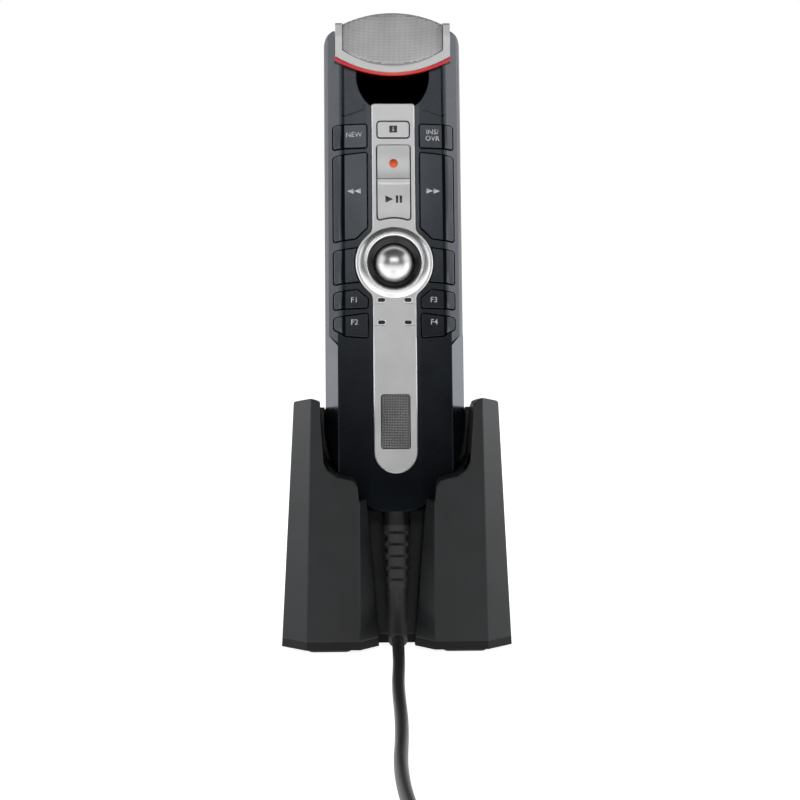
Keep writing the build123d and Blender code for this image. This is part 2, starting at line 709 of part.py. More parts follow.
SWITCHES = [(s * 14.5, v) for v in (61.5, 71.8, 107.0, 128.7) for s in (1, -1)]
SWITCHES += [(17.6, 83.5), (-17.6, 83.5), (0, 103.5), (0, 121.7), (0, 130.75)]
with BuildPart() as dome_switches:
    add(posts(SWITCHES, 1.9, BOARD_TOP, BOARD_TOP + 0.35))
save(dome_switches, "dome_switches")

with BuildPart() as key_membrane:
    with BuildSketch(face(BOARD_TOP)):
        with at(0, 96):
            RectangleRounded(37.6, 78, 2)
        with at(0, BALL_V):
            Circle(CAGE_R + 0.4, mode=Mode.SUBTRACT)
    extrude(amount=MEMBRANE_TOP - BOARD_TOP)
    add(posts(SWITCHES, 1.1, MEMBRANE_TOP - 0.1, MEMBRANE_TOP + 0.3))
    add(posts(SWITCHES, 2.0, BOARD_TOP - 1, BOARD_TOP + 0.45), mode=Mode.SUBTRACT)
save(key_membrane, "key_membrane")

with BuildPart() as board_chips:
    with BuildSketch(face(BOARD_LOW - 1.0)):
        with Locations((0, 58), (-8, 118), (9, 112)):
            Rectangle(8, 8)
        with at(6, 42):
            Rectangle(5, 10)
    extrude(amount=1.0)
save(board_chips, "board_chips")

with BuildPart() as indicator_lamps:
    with BuildSketch(face(BOARD_TOP)):
        with Locations((-10, 143.5), (10, 143.5)):
            Rectangle(1.6, 0.8)
    extrude(amount=0.6)
    with BuildSketch(face(MEMBRANE_TOP)):
        for v in LAMP_ROWS:
            with Locations((LAMP_X, v), (-LAMP_X, v)):
                Rectangle(1.4, 0.8)
    extrude(amount=0.5)
save(indicator_lamps, "indicator_lamps")

TRIGGER_SIDE = [(TRIGGER_LOW, -9.5), (TRIGGER_LOW, -16.2), (106, -17.2), (116, -15.2), (TRIGGER_TOP, -13.5)]
with BuildPart() as trigger:
    with BuildSketch(side()):
        with BuildLine():
            FilletPolyline(*TRIGGER_SIDE, radius=[1.5, 9, 12])
            Polyline(TRIGGER_SIDE[-1], (TRIGGER_TOP, -9.5), TRIGGER_SIDE[0])
        make_face()
    extrude(amount=TRIGGER_HALF, both=True)
    with BuildSketch(face(-20)):
        with at(0, (TRIGGER_LOW + TRIGGER_TOP) / 2):
            RectangleRounded(2 * TRIGGER_HALF, TRIGGER_TOP - TRIGGER_LOW, 3.0)
    extrude(amount=20, mode=Mode.INTERSECT)
save(trigger, "trigger")

# ---------------------------------------------------------------- cable exit
with BuildPart() as cord_collar:
    add(rod(COLLAR_R, COLLAR_LOW, 0.6))
    add(rod(2.45, COLLAR_LOW - 1, 2), mode=Mode.SUBTRACT)
    add(front_block(), mode=Mode.SUBTRACT)
    add(rear_block(), mode=Mode.SUBTRACT)
save(cord_collar, "cord_collar")

bend_chord = sqrt((RELIEF_LOW - RELIEF_END[0]) ** 2 + (RELIEF_END[1] - RELIEF_W) ** 2)
half_bend = atan((RELIEF_END[1] - RELIEF_W) / (RELIEF_LOW - RELIEF_END[0]))
BEND_R = bend_chord / (2 * sin(half_bend))
BEND = 2 * half_bend
exit_point = mic.from_local_coords((0, RELIEF_END[0], RELIEF_END[1]))
exit_dir = UP * -cos(BEND) + OUT * sin(BEND)
exit_plane = Plane(origin=exit_point, x_dir=(1, 0, 0), z_dir=exit_dir)


def bend_path():
    """Arc that the sleeve follows from the slotted part to its mouth."""
    middle = (RELIEF_LOW - BEND_R * sin(BEND / 2), RELIEF_W + BEND_R * (1 - cos(BEND / 2)))
    with BuildLine(side()) as path:
        ThreePointArc((RELIEF_LOW, RELIEF_W), middle, RELIEF_END)
    return path.line


with BuildPart() as sleeve:
    with BuildSketch(section(RELIEF_LOW)):
        with at(0, RELIEF_W):
            Circle(SLEEVE_R)
    with BuildSketch(exit_plane):
        Circle(SLEEVE_END_R)
    sweep(path=bend_path(), multisection=True)

with BuildPart() as strain_relief:
    add(rod(2.4, COLLAR_LOW - 0.5, 4.6))
    add(rod(3.1, 2.5, 4.6))
    with BuildSketch(section(COLLAR_LOW)):
        with at(0, RELIEF_W):
            Circle(RELIEF_R)
    with BuildSketch(section(RELIEF_LOW)):
        with at(0, RELIEF_W):
            Circle(SLEEVE_R + 0.5)
    loft()
    for i in range(SLOTS):
        slot_v = COLLAR_LOW - 2.6 - i * SLOT_PITCH
        for s in (1, -1):
            with BuildSketch(section(slot_v)):
                with at(0, RELIEF_W + s * (FRONT_SLOT_IN + SLOT_DEEP / 2)):
                    Rectangle(2 * SLOT_DEEP, SLOT_DEEP)
            extrude(amount=FRONT_SLOT_T / 2, both=True, mode=Mode.SUBTRACT)
            with BuildSketch(section(slot_v - SLOT_PITCH / 2)):
                with at(s * (SIDE_SLOT_IN + SLOT_DEEP / 2), RELIEF_W):
                    Rectangle(SLOT_DEEP, 1.6 * SLOT_DEEP)
            extrude(amount=SIDE_SLOT_T / 2, both=True, mode=Mode.SUBTRACT)
    add(sleeve.part)
    with BuildSketch(exit_plane.offset(-CORD_IN)):
        Circle(CORD_R + 0.05)
    extrude(amount=CORD_IN + 1, mode=Mode.SUBTRACT)
save(strain_relief, "strain_relief")

# ---------------------------------------------------------------- cradle
def plan(height, shrink=0.0):
    """Plan of the cradle's outside at a height, drawn in by `shrink`."""
    front = BASE_FRONT + lowered(FACE_LEAN, height) + shrink
    rear = BASE_REAR - lowered(REAR_LEAN, height) - shrink
    half = BASE_HALF - lowered(SIDE_LEAN, height) - shrink
    crease = CREASE_X - lowered(CREASE_IN, height) - shrink / 2
    points = [
        (crease, front),
        (half, front + CHAMFER_Y),
        (half, rear - REAR_CORNER),
        (half - REAR_CORNER, rear),
    ]
    with BuildSketch(Plane.XY.offset(height)) as outline:
        with BuildLine():
            Polyline(*mirrored(points), close=True)
        make_face()
    return outline.sketch


def tower(low, high, shrink=0.0):
    """Tapered block of the cradle's plan between two heights."""
    with BuildPart() as block:
        add(plan(low, shrink))
        add(plan(high, shrink))
        loft(ruled=True)
    return block.part


def channel_plan(height, grow=0.0):
    """Plan of the channel in front for the cord: bevelled mouth, narrow throat."""
    climb = height / CHANNEL_H
    front = BASE_FRONT + lowered(FACE_LEAN, height)
    throat = CHANNEL_IN_LOW + climb * (CHANNEL_IN_TOP - CHANNEL_IN_LOW) + grow
    wall = CHANNEL_WALL_Y + lowered(CHANNEL_WALL_LEAN, height) + grow
    mouth = CHANNEL_OUT + grow
    points = [(mouth, front - 5), (mouth, front), (throat, front + CHANNEL_BEVEL), (throat, wall)]
    with BuildSketch(Plane.XY.offset(height)) as outline:
        with BuildLine():
            Polyline(*mirrored(points), close=True)
        make_face()
    return outline.sketch


def channel(low, high, grow=0.0):
    """Block that opens the cord's channel between two heights."""
    with BuildPart() as block:
        add(channel_plan(low, grow))
        add(channel_plan(high, grow))
        loft(ruled=True)
    return block.part


POCKET_BACK = -10.0
MOUTH = [(12.6, 50.0), (13.1, 55.0), (14.4, 56.9), (16.8, 57.6), (20.1, 58.3), (23.1, 60.5), (24.3, 63.0)]
MOUTH += [(24.8, 70.5), (25.3, 77.1), (25.3, 95.0)]


def mouth_block():
    """Block that opens the cradle's front over the legs, between the ears."""
    with BuildPart() as block:
        with BuildSketch(Plane.XZ.offset(-POCKET_BACK)):
            with BuildLine():
                Polyline(*mirrored(MOUTH), close=True)
            make_face()
        extrude(amount=60)
    return block.part


TOP_SIDE = [(-60, 60), (-60, 78.5), (-28.4, EAR_TOP), (-22.0, EAR_TOP - 1.6), (16.0, 70.0), (60, 58)]
# Ears seen from the front: outer corner, outer slope, peak and inner slope.
EAR_FRONT = [(60.0, 40.0), (34.8, 80.4), (33.8, 82.0), (28.4, 84.1), (26.8, 83.4), (20.0, 76.4)]
with BuildPart() as top_limit:
    with BuildSketch(Plane.YZ):
        with BuildLine():
            Polyline((-60, 0), *TOP_SIDE, (60, 0), close=True)
        make_face()
    extrude(amount=60, both=True)
    with BuildSketch(Plane.XZ):
        with BuildLine():
            Polyline((60, 0), *mirrored(EAR_FRONT), (-60, 0), close=True)
        make_face()
    extrude(amount=80, both=True, mode=Mode.INTERSECT)

with BuildPart() as pocket:
    add(front_block(-POCKET_GAP))
    add(rear_block(-POCKET_GAP))
    add(prism(body_outline(POCKET_GAP), 0, 8))

with BuildPart() as cradle_hollow:
    add(tower(PLATE_TOP, 92, CRADLE_WALL))
    with BuildSketch(Plane.YZ):
        with BuildLine():
            Polyline(*[(y, z - CRADLE_WALL) for y, z in [(-60, 0), *TOP_SIDE, (60, 0)]], close=True)
        make_face()
    extrude(amount=60, both=True, mode=Mode.INTERSECT)
    add(prism(body_outline(POCKET_GAP + CRADLE_WALL), -BACK, 60), mode=Mode.SUBTRACT)
    add(channel(0, 92, CRADLE_WALL), mode=Mode.SUBTRACT)

CRADLE_SCREWS = [(s * 31.5, y) for y in (-20.0, 22.0) for s in (1, -1)]
CRADLE_BOSS_R, CRADLE_BOSS_TOP = 4.4, 20.0
BASE_SCREW_R, BASE_SCREW_HEAD_R, BASE_SCREW_HEAD, BASE_SCREW_L = 1.5, 2.8, 1.1, 11.0
with BuildPart() as cradle_bosses:
    with BuildSketch(Plane.XY.offset(PLATE_TOP)):
        with Locations(*CRADLE_SCREWS):
            Circle(CRADLE_BOSS_R)
    extrude(amount=CRADLE_BOSS_TOP - PLATE_TOP)
    add(tower(PLATE_TOP, 92), mode=Mode.INTERSECT)

with BuildPart() as cradle_shell:
    add(tower(PLATE_TOP, 92))
    add(top_limit.part, mode=Mode.INTERSECT)
    add(cradle_hollow.part, mode=Mode.SUBTRACT)
    add(cradle_bosses.part)
    add(pocket.part, mode=Mode.SUBTRACT)
    add(channel(0, CHANNEL_H), mode=Mode.SUBTRACT)
    add(mouth_block(), mode=Mode.SUBTRACT)
    with BuildSketch(Plane.XY.offset(PLATE_TOP)):
        with Locations(*CRADLE_SCREWS):
            Circle(BASE_SCREW_R + 0.05)
    extrude(amount=BASE_SCREW_L + 1, mode=Mode.SUBTRACT)
save(cradle_shell, "cradle_shell")

with BuildPart() as base_plate:
    add(tower(FOOT_T, PLATE_TOP))
    add(channel(0, 20), mode=Mode.SUBTRACT)
    with BuildSketch(Plane.XY):
        with Locations(*CRADLE_SCREWS):
            Circle(BASE_SCREW_R + 0.1)
    extrude(amount=2 * PLATE_TOP, mode=Mode.SUBTRACT)
    with BuildSketch(Plane.XY):
        with Locations(*CRADLE_SCREWS):
            Circle(BASE_SCREW_HEAD_R + 0.2)
    extrude(amount=FOOT_T + BASE_SCREW_HEAD + 0.1, mode=Mode.SUBTRACT)
save(base_plate, "base_plate")

with BuildPart() as base_screws:
    with BuildSketch(Plane.XY.offset(FOOT_T + 0.1)):
        with Locations(*CRADLE_SCREWS):
            Circle(BASE_SCREW_HEAD_R)
    extrude(amount=BASE_SCREW_HEAD)
    with BuildSketch(Plane.XY.offset(FOOT_T + 0.1 + BASE_SCREW_HEAD)):
        with Locations(*CRADLE_SCREWS):
            Circle(BASE_SCREW_R)
    extrude(amount=BASE_SCREW_L)
save(base_screws, "base_screws")

BALLAST_Y, BALLAST_WIDE, BALLAST_DEEP, BALLAST_HIGH = 6.0, 50.0, 44.0, 13.0
with BuildPart() as ballast_weight:
    with BuildSketch(Plane.XY.offset(PLATE_TOP)):
        with at(0, BALLAST_Y):
            RectangleRounded(BALLAST_WIDE, BALLAST_DEEP, 4)
    extrude(amount=BALLAST_HIGH)
save(ballast_weight, "ballast_weight")

FOOT_X, FOOT_Y, FOOT_WIDE, FOOT_DEEP = 22.5, 32.5, 14.0, 5.5
with BuildPart() as rubber_feet:
    with BuildSketch(Plane.XY):
        with GridLocations(2 * FOOT_X, 2 * FOOT_Y, 2, 2):
            RectangleRounded(FOOT_WIDE, FOOT_DEEP, 2)
    extrude(amount=FOOT_T)
save(rubber_feet, "rubber_feet")

# ---------------------------------------------------------------- cord
# Route from inside the sleeve's mouth, over the table, to the coil. Then from the coil to the plug.
route_start = exit_point - exit_dir * CORD_IN
touch_down = exit_point + exit_dir * ((exit_point.Z - CORD_R) / -exit_dir.Z)
CORD_ROUTE = [
    tuple(route_start),
    tuple(touch_down),
    (-0.4, -60.0, CORD_R),
    (-1.6, -84.0, CORD_R),
    (-1.6, -124.0, CORD_R),
    (-4.0, -164.0, CORD_R),
    (-1.5, -201.0, CORD_R),
    (6.0, -228.0, CORD_R),
    (8.0, -245.5, CORD_R),
]
TAIL_ROUTE = [
    (-10.5, -227.2, 13.6),
    (4.0, -228.6, 11.0),
    (15.0, -234.8, 7.6),
    (20.3, -245.5, 5.0),
    (PLUG_AT[0], PLUG_AT[1], PLUG_HALF_T),
]


def corner_radii(points):
    """Radius at each inner point: 0.45 of its shorter run over the tangent of half its turn."""
    radii = []
    for before, here, after in zip(points, points[1:], points[2:]):
        arriving = Vector(*here) - Vector(*before)
        leaving = Vector(*after) - Vector(*here)
        shorter = min(arriving.length, leaving.length)
        radii.append(0.45 * shorter / tan(radians(arriving.get_angle(leaving) / 2)))
    return radii


def tube(points):
    """Round cord along straight runs joined by tangent arcs."""
    radii = corner_radii(points)
    with BuildPart() as piece:
        with BuildLine() as path:
            FilletPolyline(*points, radius=radii)
        route = path.wires()[0]
        with BuildSketch(route ^ 0):
            Circle(CORD_R)
        sweep(path=route)
    print("radii", [round(r, 1) for r in radii], "length", round(route.length, 1))
    print("volume over section times length", piece.part.volume / (route.length * pi * CORD_R**2))
    return piece.part


with BuildPart() as cord_run:
    add(tube(CORD_ROUTE))
save(cord_run, "cord_run")

with BuildPart() as cord_tail:
    add(tube(TAIL_ROUTE))
save(cord_tail, "cord_tail")

with BuildPart() as cord_coil:
    with BuildSketch(Plane.XY):
        with at(*COIL_CENTRE):
            Circle(COIL_MID_R + COIL_WIDE * CORD_R)
            Circle(COIL_MID_R - COIL_WIDE * CORD_R, mode=Mode.SUBTRACT)
    extrude(amount=COIL_HIGH * 2 * CORD_R)
save(cord_coil, "cord_coil")

plug_turn = radians(PLUG_TURN)
plug_plane = Plane(
    origin=(PLUG_AT[0], PLUG_AT[1], PLUG_HALF_T),
    x_dir=(-sin(plug_turn), cos(plug_turn), 0),
    z_dir=(cos(plug_turn), sin(plug_turn), 0),
)

with BuildPart() as plug_body:
    with BuildSketch(plug_plane):
        RectangleRounded(2 * PLUG_HALF_W, 2 * PLUG_HALF_T, 2.0)
    extrude(amount=PLUG_L)
save(plug_body, "plug_body")

with BuildPart() as plug_shell:
    with BuildSketch(plug_plane.offset(PLUG_L)):
        Rectangle(2 * SHELL_HALF_W, 2 * SHELL_HALF_T)
        Rectangle(2 * (SHELL_HALF_W - SHELL_WALL), 2 * (SHELL_HALF_T - SHELL_WALL), mode=Mode.SUBTRACT)
    extrude(amount=SHELL_L)
save(plug_shell, "plug_shell")

with BuildPart() as plug_tongue:
    with BuildSketch(plug_plane.offset(PLUG_L)):
        with at(0, SHELL_HALF_T - SHELL_WALL - TONGUE_T / 2):
            Rectangle(2 * (SHELL_HALF_W - SHELL_WALL), TONGUE_T)
    extrude(amount=SHELL_L - 1.0)
save(plug_tongue, "plug_tongue")
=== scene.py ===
"""Looks for the dictation microphone, its desk cradle and its cord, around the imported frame."""

from math import cos, pi, radians, sin, sqrt, tau

import bmesh
import bpy
from mathutils import Matrix, Vector
from mathutils.bvhtree import BVHTree


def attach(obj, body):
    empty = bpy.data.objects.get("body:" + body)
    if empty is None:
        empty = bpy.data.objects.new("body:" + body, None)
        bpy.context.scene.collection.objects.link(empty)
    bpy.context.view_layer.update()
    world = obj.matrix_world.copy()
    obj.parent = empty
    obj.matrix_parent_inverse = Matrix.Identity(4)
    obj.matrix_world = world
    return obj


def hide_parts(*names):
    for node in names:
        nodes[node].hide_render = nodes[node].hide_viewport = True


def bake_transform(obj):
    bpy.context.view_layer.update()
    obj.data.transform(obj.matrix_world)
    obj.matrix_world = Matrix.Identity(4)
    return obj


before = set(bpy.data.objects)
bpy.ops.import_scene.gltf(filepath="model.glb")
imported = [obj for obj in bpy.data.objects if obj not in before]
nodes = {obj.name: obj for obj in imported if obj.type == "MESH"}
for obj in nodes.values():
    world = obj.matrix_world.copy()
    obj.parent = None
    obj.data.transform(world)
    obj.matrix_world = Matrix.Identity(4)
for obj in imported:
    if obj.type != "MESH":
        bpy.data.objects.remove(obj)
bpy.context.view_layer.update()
MM = 0.001

# The microphone's own frame: x across it, y along it from its lower end, z out of its front.
LEAN = radians(15.0)
FOOT = Vector((0.0, -18.6, 43.0)) * MM
UP = Vector((0.0, sin(LEAN), cos(LEAN)))
OUT = Vector((0.0, -cos(LEAN), sin(LEAN)))
MIC_TURN = Matrix(((1, 0, 0), (0, UP.y, OUT.y), (0, UP.z, OUT.z)))
MIC = Matrix.Translation(FOOT) @ MIC_TURN.to_4x4()


def on_mic(x, y, z):
    """A place given in millimetres in the microphone's frame."""
    return MIC @ (Vector((x, y, z)) * MM)


# ---------------------------------------------------------------- camera, light and stage
CAMERA_DISTANCE, CAMERA_TURN, CAMERA_RISE = 639.2 * MM, radians(-2.1), radians(8.0)
CAMERA_AIM = Vector((1.08, -28.2, 83.4)) * MM
CAMERA_LENS, CAMERA_SENSOR = 87.2, 36.0
LIGHT_AIM = Vector((0.0, -0.02, 0.12))
LIGHT_TINT = (0.98, 0.985, 1.0)
WHITE = (1.0, 1.0, 1.0, 1.0)
FLOOR_R, FLOOR_DEPTH, FLOOR_GLOW, FLOOR_GREY = 9.0, 0.05, 0.90, (0.80, 0.80, 0.80, 1.0)

# The room's brightness, and where it turns white: as a direction falls to the floor or swings to the back.
ROOM_DARK, ROOM_WHITE = 0.05, 1.0
FLOORWARD, BACKWARD = (0.20, 0.11), (0.45, 0.85)

# Soft boxes: distance, turn from the front and rise in degrees, width and height, radiance.
SOFT_BOXES = {
    "left_rim": (0.75, -106.0, 16.0, 0.42, 0.80, 2.7),
    "right_rim": (0.75, 106.0, 16.0, 0.42, 0.80, 2.7),
    "left_fill": (0.75, -72.0, 16.0, 0.38, 0.80, 1.0),
    "right_fill": (0.75, 72.0, 16.0, 0.38, 0.80, 1.0),
    "front_card": (1.20, 0.0, 36.0, 0.84, 0.40, 1.9),
}


def towards(turn, rise):
    """Direction out from the object, turned from its front and raised, in radians."""
    return Vector((sin(turn) * cos(rise), -cos(turn) * cos(rise), sin(rise)))


def make_camera():
    """Camera at the viewing angle, on the line through its aim."""
    back = towards(CAMERA_TURN, CAMERA_RISE)
    data = bpy.data.cameras.new("camera")
    data.lens = CAMERA_LENS
    data.sensor_width = CAMERA_SENSOR
    data.clip_start = 0.01
    camera = bpy.data.objects.new("camera", data)
    camera.location = CAMERA_AIM + back * CAMERA_DISTANCE
    camera.rotation_euler = back.to_track_quat("Z", "Y").to_euler()
    bpy.context.scene.collection.objects.link(camera)
    bpy.context.scene.camera = camera


def soft_box(name, distance, turn, rise, width, height, radiance):
    """Rectangular light facing the object, with the radiance that its face shows."""
    outward = towards(radians(turn), radians(rise))
    data = bpy.data.lights.new(name, "AREA")
    data.shape = "RECTANGLE"
    data.size, data.size_y = width, height
    data.energy = radiance * pi * width * height
    data.color = LIGHT_TINT
    box = bpy.data.objects.new(name, data)
    box.location = LIGHT_AIM + outward * distance
    box.rotation_euler = outward.to_track_quat("Z", "Y").to_euler()
    bpy.context.scene.collection.objects.link(box)


def remap(tree, source, start, end, low=0.0, high=1.0):
    """A value that runs from `low` to `high` while its source runs from `start` to `end`."""
    node = tree.nodes.new("ShaderNodeMapRange")
    for socket, number in zip(("From Min", "From Max", "To Min", "To Max"), (start, end, low, high)):
        node.inputs[socket].default_value = number
    tree.links.new(source, node.inputs["Value"])
    return node.outputs["Result"]


def combine(tree, operation, first, second):
    """Two values put together by one operation."""
    step = tree.nodes.new("ShaderNodeMath")
    step.operation = operation
    tree.links.new(first, step.inputs[0])
    tree.links.new(second, step.inputs[1])
    return step.outputs["Value"]


def make_room():
    """Studio around the object: white behind it and near the floor, dark high up in front."""
    world = bpy.data.worlds.new("room")
    world.use_nodes = True
    tree = world.node_tree
    place = tree.nodes.new("ShaderNodeTexCoord")
    parts = tree.nodes.new("ShaderNodeSeparateXYZ")
    tree.links.new(place.outputs["Generated"], parts.inputs["Vector"])
    near_floor = remap(tree, parts.outputs["Z"], *FLOORWARD)
    behind = remap(tree, parts.outputs["Y"], *BACKWARD)
    white = combine(tree, "MAXIMUM", near_floor, behind)
    strength = remap(tree, white, 0.0, 1.0, ROOM_DARK, ROOM_WHITE)
    tree.links.new(strength, tree.nodes["Background"].inputs["Strength"])
    tree.nodes["Background"].inputs["Color"].default_value = WHITE
    bpy.context.scene.world = world


def make_floor():
    """Plain pale floor, wide enough to reach the horizon."""
    bm = bmesh.new()
    bmesh.ops.create_circle(bm, cap_ends=True, radius=FLOOR_R, segments=96)
    mesh = bpy.data.meshes.new("floor")
    bm.to_mesh(mesh)
    bm.free()
    material = bpy.data.materials.new("floor_paper")
    material.use_nodes = True
    main = material.node_tree.nodes["Principled BSDF"]
    main.inputs["Base Color"].default_value = FLOOR_GREY
    main.inputs["Roughness"].default_value = 0.9
    main.inputs["Specular IOR Level"].default_value = 0.1
    main.inputs["Emission Color"].default_value = WHITE
    main.inputs["Emission Strength"].default_value = FLOOR_GLOW
    mesh.materials.append(material)
    floor = bpy.data.objects.new("floor", mesh)
    floor.location.z = -FLOOR_DEPTH * MM
    bpy.context.scene.collection.objects.link(floor)


make_camera()
for box_name, box_facts in SOFT_BOXES.items():
    soft_box(box_name, *box_facts)
make_room()
make_floor()
bpy.context.scene.view_settings.view_transform = "Standard"


# ---------------------------------------------------------------- materials
SHELL_ROUGH, KEY_ROUGH, ROUGH_SWING = 0.28, 0.17, 0.03
SLOW, FINE = 90.0, 2600.0
NOISE_LOW, NOISE_HIGH = 0.3, 0.7


def new_shader(name, metallic=0.0, specular=0.5):
    """New material, its tree and its main shader, with what is the same all over the surface."""
    material = bpy.data.materials.new(name)
    material.use_nodes = True
    main = material.node_tree.nodes["Principled BSDF"]
    main.inputs["Metallic"].default_value = metallic
    main.inputs["Specular IOR Level"].default_value = specular
    return material, material.node_tree, main


def noise(tree, scale, detail=2.0):
    """Noise over the object's own coordinates; `scale` is in features per metre."""
    place = tree.nodes.new("ShaderNodeTexCoord")
    texture = tree.nodes.new("ShaderNodeTexNoise")
    texture.inputs["Scale"].default_value = scale
    texture.inputs["Detail"].default_value = detail
    tree.links.new(place.outputs["Object"], texture.inputs["Vector"])
    return texture.outputs["Fac"]


def shade(tree, source, dark, light, start=NOISE_LOW, end=NOISE_HIGH):
    """Colour that runs from dark to light with a value."""
    ramp = tree.nodes.new("ShaderNodeValToRGB")
    ramp.color_ramp.elements[0].position = start
    ramp.color_ramp.elements[1].position = end
    ramp.color_ramp.elements[0].color = (*dark, 1.0)
    ramp.color_ramp.elements[1].color = (*light, 1.0)
    tree.links.new(source, ramp.inputs["Fac"])
    return ramp.outputs["Color"]


def raise_bumps(tree, main, source, depth, edge=0.0):
    """Bump of a depth in millimetres from a value, over edges rounded to a radius."""
    bump = tree.nodes.new("ShaderNodeBump")
    if edge:
        round_off = tree.nodes.new("ShaderNodeBevel")
        round_off.inputs["Radius"].default_value = edge * MM
        tree.links.new(round_off.outputs["Normal"], bump.inputs["Normal"])
    bump.inputs["Distance"].default_value = depth * MM
    bump.inputs["Strength"].default_value = 1.0
    tree.links.new(source, bump.inputs["Height"])
    tree.links.new(bump.outputs["Normal"], main.inputs["Normal"])


def vary_rough(tree, main, source, rough, swing=ROUGH_SWING):
    """Roughness that swings round a value with a noise."""
    varied = remap(tree, source, NOISE_LOW, NOISE_HIGH, rough - swing, rough + swing)
    tree.links.new(varied, main.inputs["Roughness"])


def moulded(name, dark, light, rough, grain=FINE, depth=0.004, blotch=SLOW, edge=0.0, **facts):
    """Surface with slow changes of colour and gloss and a fine grain, for plastic, rubber or metal."""
    material, tree, main = new_shader(name, **facts)
    slow = noise(tree, blotch)
    tree.links.new(shade(tree, slow, dark, light), main.inputs["Base Color"])
    vary_rough(tree, main, slow, rough)
    raise_bumps(tree, main, noise(tree, grain), depth, edge)
    return material


def bare_metal(name, dark, light, rough):
    """Plain metal whose colour, gloss and grain all follow one fine noise."""
    material, tree, main = new_shader(name, metallic=1.0)
    speckle = noise(tree, 900.0, 3.0)
    tree.links.new(shade(tree, speckle, dark, light), main.inputs["Base Color"])
    vary_rough(tree, main, speckle, rough, 0.05)
    raise_bumps(tree, main, speckle, 0.002)
    return material


# Where materials change, in millimetres in the microphone's frame. A pair is a change's start and end.
# GUIDE_FRONT places painted shade: the light guide turns nearly black behind its front face.
GUIDE_HALF, GUIDE_FRONT = 20.0, (8.8, 9.2)
# SCOOP_PLACE and the edge after it place painted shade: black colour and no gloss inside the scoop under the
# head.
SCOOP_PLACE, SCOOP_SHADE_EDGE = (0.0, 150.0, 22.4), (19.0, 19.4)
# The first pair on the next line places painted shade: the shell's gloss is dulled low on its front, where
# the dark cradle is reflected.
LOW_SHADE_HEIGHTS, GRIP_SIDES = (10.0, 95.0), (18.6, 19.2)
FOLD_INNER, FOLD_OUTER = (16.7, 16.5), (17.6, 17.8)
SHADED_GLOSS, FULL_GLOSS = 0.06, 0.75
GLOSS_TINT = (0.85, 0.91, 1.0)
GUIDE_WARM, GUIDE_DEEP, GUIDE_GLOW, GUIDE_DIM = (0.62, 0.070, 0.055), (0.52, 0.014, 0.024), 0.15, 0.02


def from_point(tree, point, operation, other=None):
    """Length or dot product of the object's own coordinates, measured from a point."""
    place = tree.nodes.new("ShaderNodeTexCoord")
    less = tree.nodes.new("ShaderNodeVectorMath")
    less.operation = "SUBTRACT"
    less.inputs[1].default_value = point
    result = tree.nodes.new("ShaderNodeVectorMath")
    result.operation = operation
    if other is not None:
        result.inputs[1].default_value = other
    tree.links.new(place.outputs["Object"], less.inputs[0])
    tree.links.new(less.outputs["Vector"], result.inputs[0])
    return result.outputs["Value"]


def times(tree, colour, value):
    """Colour made darker by a value under one."""
    mix = tree.nodes.new("ShaderNodeVectorMath")
    mix.operation = "SCALE"
    tree.links.new(colour, mix.inputs[0])
    tree.links.new(value, mix.inputs["Scale"])
    return mix.outputs["Vector"]


def remap_mm(tree, source, run, low=0.0, high=1.0):
    """Remap whose start and end are given in millimetres."""
    return remap(tree, source, run[0] * MM, run[1] * MM, low, high)


def side_distance(tree):
    """Distance from the middle plane, in the object's own coordinates."""
    place = tree.nodes.new("ShaderNodeTexCoord")
    parts = tree.nodes.new("ShaderNodeSeparateXYZ")
    size = tree.nodes.new("ShaderNodeMath")
    size.operation = "ABSOLUTE"
    tree.links.new(place.outputs["Object"], parts.inputs["Vector"])
    tree.links.new(parts.outputs["X"], size.inputs[0])
    return size.outputs["Value"]


def blue_black(name, rough):
    """Blue-black plastic with tinted gloss: its material, tree, main shader and slow noise."""
    material, tree, main = new_shader(name)
    main.inputs["Specular Tint"].default_value = (*GLOSS_TINT, 1.0)
    slow = noise(tree, SLOW)
    vary_rough(tree, main, slow, rough)
    raise_bumps(tree, main, noise(tree, FINE), 0.003)
    return material, tree, main, slow


def shell_plastic():
    """Plastic of the shells, with painted shade: its gloss dulled low on its front, where the dark cradle is
    reflected, and its colour and gloss dead black inside the scoop under the head.
    """
    material, tree, main, slow = blue_black("body_plastic", SHELL_ROUGH)
    # Painted shade: colour and gloss go to black inside the scoop under the head.
    clear_of_scoop_shade = remap_mm(tree, from_point(tree, on_mic(*SCOOP_PLACE), "LENGTH"), SCOOP_SHADE_EDGE)
    # Painted shade: gloss dulled low on the front, where the dark cradle is reflected, and kept full on the
    # grip's sides.
    height = from_point(tree, FOOT, "DOT_PRODUCT", UP)
    clear_of_low_shade = remap_mm(tree, height, LOW_SHADE_HEIGHTS, SHADED_GLOSS, FULL_GLOSS)
    on_grip = remap_mm(tree, side_distance(tree), GRIP_SIDES, 0.0, FULL_GLOSS)
    gloss = combine(tree, "MINIMUM", combine(tree, "MAXIMUM", clear_of_low_shade, on_grip), clear_of_scoop_shade)
    tree.links.new(gloss, main.inputs["Specular IOR Level"])
    colour = shade(tree, slow, grey(0.006, 0.30), grey(0.008, 0.30))
    tree.links.new(times(tree, colour, clear_of_scoop_shade), main.inputs["Base Color"])
    return material


def key_black():
    """Plastic of the keys, with a dull line along the fold between their front and their side."""
    material, tree, main, slow = blue_black("key_plastic", KEY_ROUGH)
    side = side_distance(tree)
    before = remap_mm(tree, side, FOLD_INNER, 0.0, FULL_GLOSS)
    after = remap_mm(tree, side, FOLD_OUTER, 0.0, FULL_GLOSS)
    tree.links.new(combine(tree, "MAXIMUM", before, after), main.inputs["Specular IOR Level"])
    tree.links.new(shade(tree, slow, grey(0.005, 0.30), grey(0.007, 0.30)), main.inputs["Base Color"])
    return material


